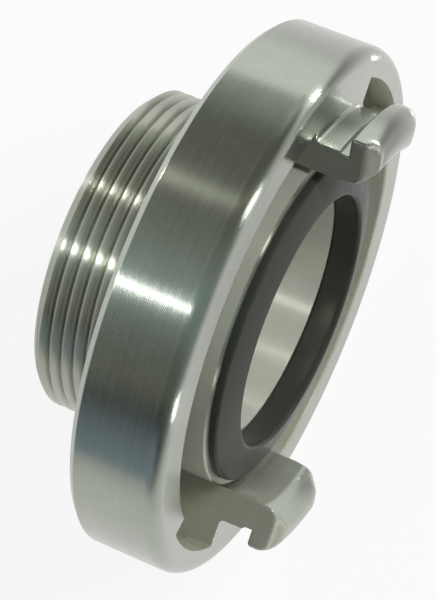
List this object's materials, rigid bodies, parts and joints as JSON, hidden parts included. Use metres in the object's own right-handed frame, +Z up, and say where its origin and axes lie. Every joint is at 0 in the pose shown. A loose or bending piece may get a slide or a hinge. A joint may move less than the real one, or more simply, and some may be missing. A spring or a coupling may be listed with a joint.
{
  "type": "claw hose coupling",
  "caption": "Quick-turn hose coupling half with a swivelling ring of hooked claws, a rubber face seal and a male-threaded pipe stub.",
  "frame": {"origin": "on the coupling's axis, in the rear face of the claw ring, where the thread starts", "axes": "+Y along the axis towards the threaded end, -Y towards the claws, +Z up; a claw starts 46 degrees clockwise from the top, seen from the claws"},
  "size_m": [0.098, 0.0462, 0.098],
  "materials": {
    "stub_aluminium": "turned, bare",
    "ring_aluminium": "fine turned, bright",
    "black_rubber": "moulded, satin",
    "natural_acetal": "turned, matt",
    "spring_steel": "drawn wire"
  },
  "bodies": {
    "stub": {"threaded_stub": "stub_aluminium", "seal_ring": "black_rubber", "slip_ring": "natural_acetal", "retaining_wire": "spring_steel"},
    "ring": {"claw_ring": "ring_aluminium"}
  },
  "joints": [
    {"name": "claw_ring_swivel", "type": "hinge", "parent": "stub", "child": "ring", "pos_m": [0, 0, 0], "axis": [0, -1, 0], "continuous": true}
  ]
}
